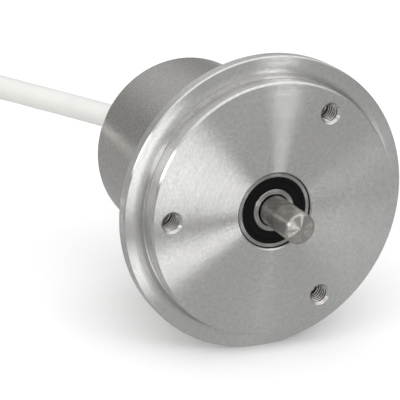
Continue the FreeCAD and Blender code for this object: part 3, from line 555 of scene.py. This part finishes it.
def make_tie(materials):
    """A toothed strap round the coil, its lock, and the trimmed end that stands out of it."""
    shape = bmesh.new()
    half = TIE_WIDTH / 2
    rings = []
    for index, (point, away) in enumerate(tie_path()):
        outer = TIE_WALL / 2 + (TIE_TOOTH if index % 2 else 0)
        inner = -TIE_WALL / 2
        edge = TIE_EDGE
        section = (
            (inner, -half + edge), (inner, half - edge),
            (inner + edge, half), (TIE_WALL / 2 - edge, half),
            (TIE_WALL / 2, half - edge), (outer, half - 3 * edge), (outer, -half + 3 * edge),
            (TIE_WALL / 2, -half + edge), (TIE_WALL / 2 - edge, -half), (inner + edge, -half),
        )
        ring = []
        for thick, side in section:
            out, up = point + away * thick
            ring.append(shape.verts.new((out, side, up)))
        rings.append(ring)
    for ring, after in zip(rings, rings[1:] + rings[:1]):
        for index in range(len(ring)):
            following = (index + 1) % len(ring)
            shape.faces.new((ring[index], ring[following], after[following], after[index]))
    lock, end, foot = (
        ((37.4, 0, -22.7), (3.5, 6.0, 5.0), 0.7),
        ((37.1, 0, -19.7), (1.0, 4.2, 2.6), 0.3),
        ((37.4, 0, -25.3), (2.2, 4.8, 1.0), 0.35),
    )
    for middle, size, bevel in (lock, end, foot):
        made = bmesh.ops.create_cube(shape, size=1.0)["verts"]
        bmesh.ops.scale(shape, vec=Vector(size) * MM, verts=made)
        bmesh.ops.translate(shape, vec=Vector(middle) * MM, verts=made)
        edges = list({edge for vert in made for edge in vert.link_edges})
        bmesh.ops.bevel(shape, geom=edges, offset=bevel * MM, segments=3, affect="EDGES", profile=0.6)
    bmesh.ops.recalc_face_normals(shape, faces=shape.faces)
    around = Matrix.Translation(COIL_MIDDLE) @ Matrix.Rotation(math.radians(TIE_ANGLE), 4, "Z")
    bmesh.ops.transform(shape, matrix=around, verts=shape.verts)
    mesh = bpy.data.meshes.new("tie_strap")
    shape.to_mesh(mesh)
    shape.free()
    mesh.materials.append(materials["tie_nylon"])
    tie = bpy.data.objects.new("tie_strap", mesh)
    bpy.context.scene.collection.objects.link(tie)
    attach(tie, "root")
    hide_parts("cable_tie")
    return tie


def make_cable(materials):
    points = ROUTE + coil_points() + TAIL
    curve = bpy.data.curves.new("cable", "CURVE")
    curve.dimensions = "3D"
    curve.bevel_depth = DIAMETER / 2
    curve.bevel_resolution = 8
    curve.resolution_u = 10
    curve.use_fill_caps = True
    spline = curve.splines.new("NURBS")
    spline.points.add(len(points) - 1)
    for target, point in zip(spline.points, points):
        target.co = (*point, 1)
    spline.order_u = 3
    spline.use_endpoint_u = True
    curve.materials.append(materials["cable_jacket"])
    cable = bpy.data.objects.new("cable", curve)
    bpy.context.scene.collection.objects.link(cable)
    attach(cable, "root")
    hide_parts("cable_run", "cable_coil", "cable_tail")
    ends = ("plug_body", "plug_insert", "plug_pins", "plug_centre_pin", "plug_nut")
    carried = [make_tie(materials)] + [frame["nodes"][name] for name in ends]


# ---- stage ----

FLOOR_REACH = 4.0


def make_floor():
    """A plain pale floor, left out of the metal's reflections and of the light's way."""
    mesh = bpy.data.meshes.new("floor")
    signs = ((-1, -1), (1, -1), (1, 1), (-1, 1))
    corners = [(x * FLOOR_REACH, y * FLOOR_REACH, FLOOR) for x, y in signs]
    mesh.from_pydata(corners, [], [(0, 1, 2, 3)])
    floor = bpy.data.objects.new("floor", mesh)
    mesh.materials.append(make_floor_material())
    bpy.context.scene.collection.objects.link(floor)
    floor.visible_glossy = False
    floor.visible_shadow = False


# A plain product studio. Each soft box is (azimuth, elevation, half width, strength), with the
# angles in degrees. Azimuth 0 is in front of the shaft.
SOFT_BOXES = (
    (30, 20, 5, 5.0),     # key light, to the right of the camera
    (-80, 20, 12, 4.0),   # large box at the left
    (-5, -5, 14, 2.0),    # reflector in front
    (0, -30, 5, 3.5),     # white card on the table in front
)
EDGE = 3
TABLE_LIGHT = 0.45
ROOM_LIGHT = 0.35
CEILING_LIGHT = 0.8
BACKDROP = 1.0
UP = (0, 0, 1)
LAMP_ENERGY = 1.4
LAMP_WIDTH = 70
LAMP_TILT = 56
LAMP_TURN = -24


class Light:
    """Short names for the studio's own nodes."""

    def __init__(self, tree):
        self.tree = tree
        self.towards = tree.nodes.new("ShaderNodeTexCoord").outputs["Generated"]

    def ramp(self, direction, start, end, low, high):
        """A smooth change from low to high with the angle to a direction, given by its cosine."""
        dot = self.tree.nodes.new("ShaderNodeVectorMath")
        dot.operation = "DOT_PRODUCT"
        self.tree.links.new(self.towards, dot.inputs[0])
        dot.inputs[1].default_value = direction
        ramp = self.tree.nodes.new("ShaderNodeMapRange")
        ramp.interpolation_type = "SMOOTHSTEP"
        self.tree.links.new(dot.outputs["Value"], ramp.inputs["Value"])
        for name, value in (("From Min", start), ("From Max", end), ("To Min", low), ("To Max", high)):
            ramp.inputs[name].default_value = value
        return ramp.outputs["Result"]

    def add(self, first, second):
        node = self.tree.nodes.new("ShaderNodeMath")
        self.tree.links.new(first, node.inputs[0])
        self.tree.links.new(second, node.inputs[1])
        return node.outputs[0]

    def mix(self, amount, light, number):
        """The light where the amount is 0, and a plain number where it is 1."""
        node = self.tree.nodes.new("ShaderNodeMix")
        self.tree.links.new(amount, node.inputs[0])
        self.tree.links.new(light, node.inputs[2])
        node.inputs[3].default_value = number
        return node.outputs[0]


def make_world():
    """The studio's light. The camera itself sees only a plain backdrop."""
    world = bpy.data.worlds.new("studio")
    bpy.context.scene.world = world
    world.use_nodes = True
    tree = world.node_tree
    light = Light(tree)
    total = light.ramp(UP, -0.05, 0.05, TABLE_LIGHT, ROOM_LIGHT)
    total = light.add(total, light.ramp(UP, 0.2, 0.9, 0.0, CEILING_LIGHT))
    for azimuth, elevation, half, strength in SOFT_BOXES:
        towards = direction_at(azimuth, elevation)
        outer, inner = math.radians(half + EDGE), math.radians(half - EDGE)
        total = light.add(total, light.ramp(towards, math.cos(outer), math.cos(inner), 0.0, strength))
    seen = tree.nodes.new("ShaderNodeLightPath").outputs["Is Camera Ray"]
    background = tree.nodes["Background"]
    tree.links.new(light.mix(seen, total, BACKDROP), background.inputs["Strength"])
    background.inputs["Color"].default_value = (1, 1, 1, 1)


def make_lamp():
    """A broad soft lamp behind the camera, which lights the floor and the cable, not the metal."""
    data = bpy.data.lights.new("soft_lamp", "SUN")
    data.energy = LAMP_ENERGY
    data.angle = math.radians(LAMP_WIDTH)
    lamp = bpy.data.objects.new("soft_lamp", data)
    lamp.rotation_euler = (math.radians(LAMP_TILT), 0, math.radians(LAMP_TURN))
    lamp.visible_glossy = False
    bpy.context.scene.collection.objects.link(lamp)


def main():
    make_camera()
    materials = make_materials()
    dress_cad(materials)
    make_cable(materials)
    make_floor()
    make_world()
    make_lamp()
    bpy.context.scene.view_settings.view_transform = "Standard"


main()
